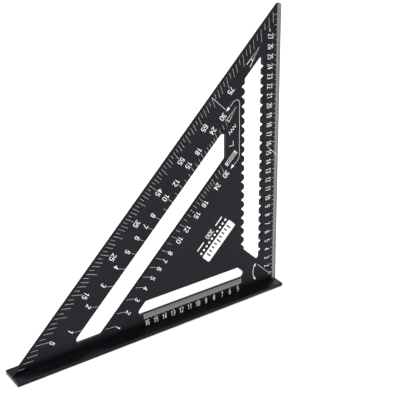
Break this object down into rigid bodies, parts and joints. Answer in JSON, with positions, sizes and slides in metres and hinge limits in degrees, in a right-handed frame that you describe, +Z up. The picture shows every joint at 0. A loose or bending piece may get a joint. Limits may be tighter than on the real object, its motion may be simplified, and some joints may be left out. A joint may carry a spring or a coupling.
{
  "type": "speed square",
  "caption": "Triangular aluminium rafter square: a flat slotted blade standing on a T-shaped fence, with milled ruler edges, a notched scribing slot and printed angle and centimetre scales.",
  "frame": {"origin": "centre of the fence's underside, at the bottom centre of the object's box", "axes": "+Z up the blade from the fence, +X along the fence towards the pivot corner and ruler edge, -Y out of the marked face"},
  "size_m": [0.3042, 0.027, 0.3037],
  "materials": {
    "anodised_black": "satin black anodised",
    "anodised_fence": "satin black anodised",
    "milled_bare": "bare milled metal on the reading bevels",
    "scale_ink": "white printed marks"
  },
  "bodies": {
    "root": {"blade": "anodised_black", "fence": "anodised_fence"}
  },
  "joints": []
}
